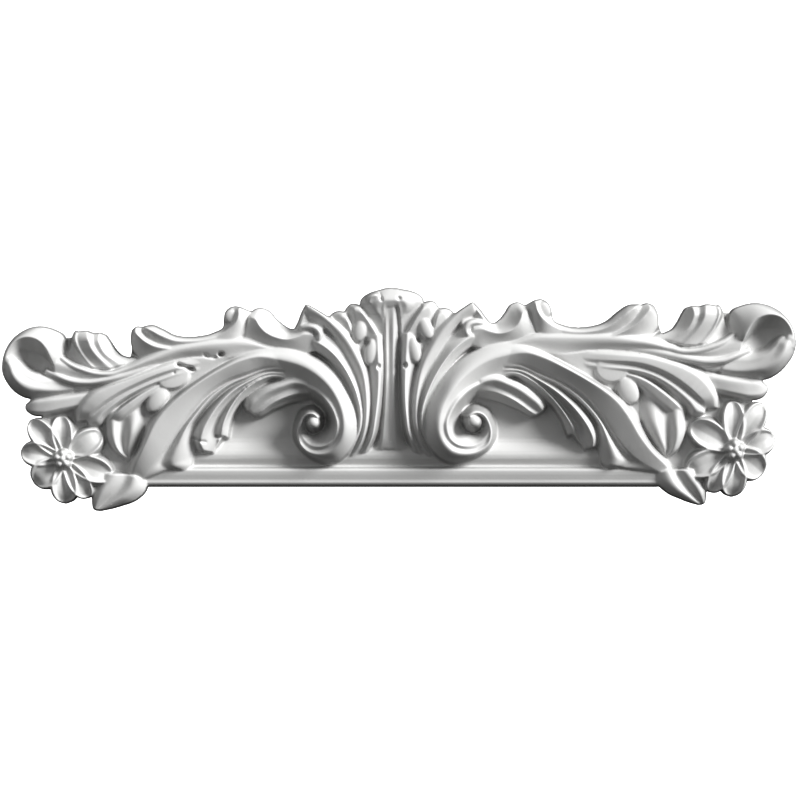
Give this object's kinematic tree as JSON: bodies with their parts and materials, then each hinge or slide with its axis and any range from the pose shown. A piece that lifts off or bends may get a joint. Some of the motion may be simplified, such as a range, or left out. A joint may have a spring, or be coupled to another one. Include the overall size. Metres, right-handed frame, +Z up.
{
  "type": "panel moulding centrepiece",
  "caption": "Cast rococo centrepiece for a panel moulding: acanthus scrolls, volutes and a crested fan over a short moulding run, with a flower and leaves at each end.",
  "frame": {"origin": "on the flat back that meets the wall, at the middle of the length and the height", "axes": "+X along the length to the viewer's right, +Y from the front into the wall, +Z up"},
  "size_m": [0.6088, 0.0415, 0.1716],
  "materials": {
    "casting": "matt white cast resin"
  },
  "bodies": {
    "root": {"centrepiece": "casting"}
  },
  "joints": []
}
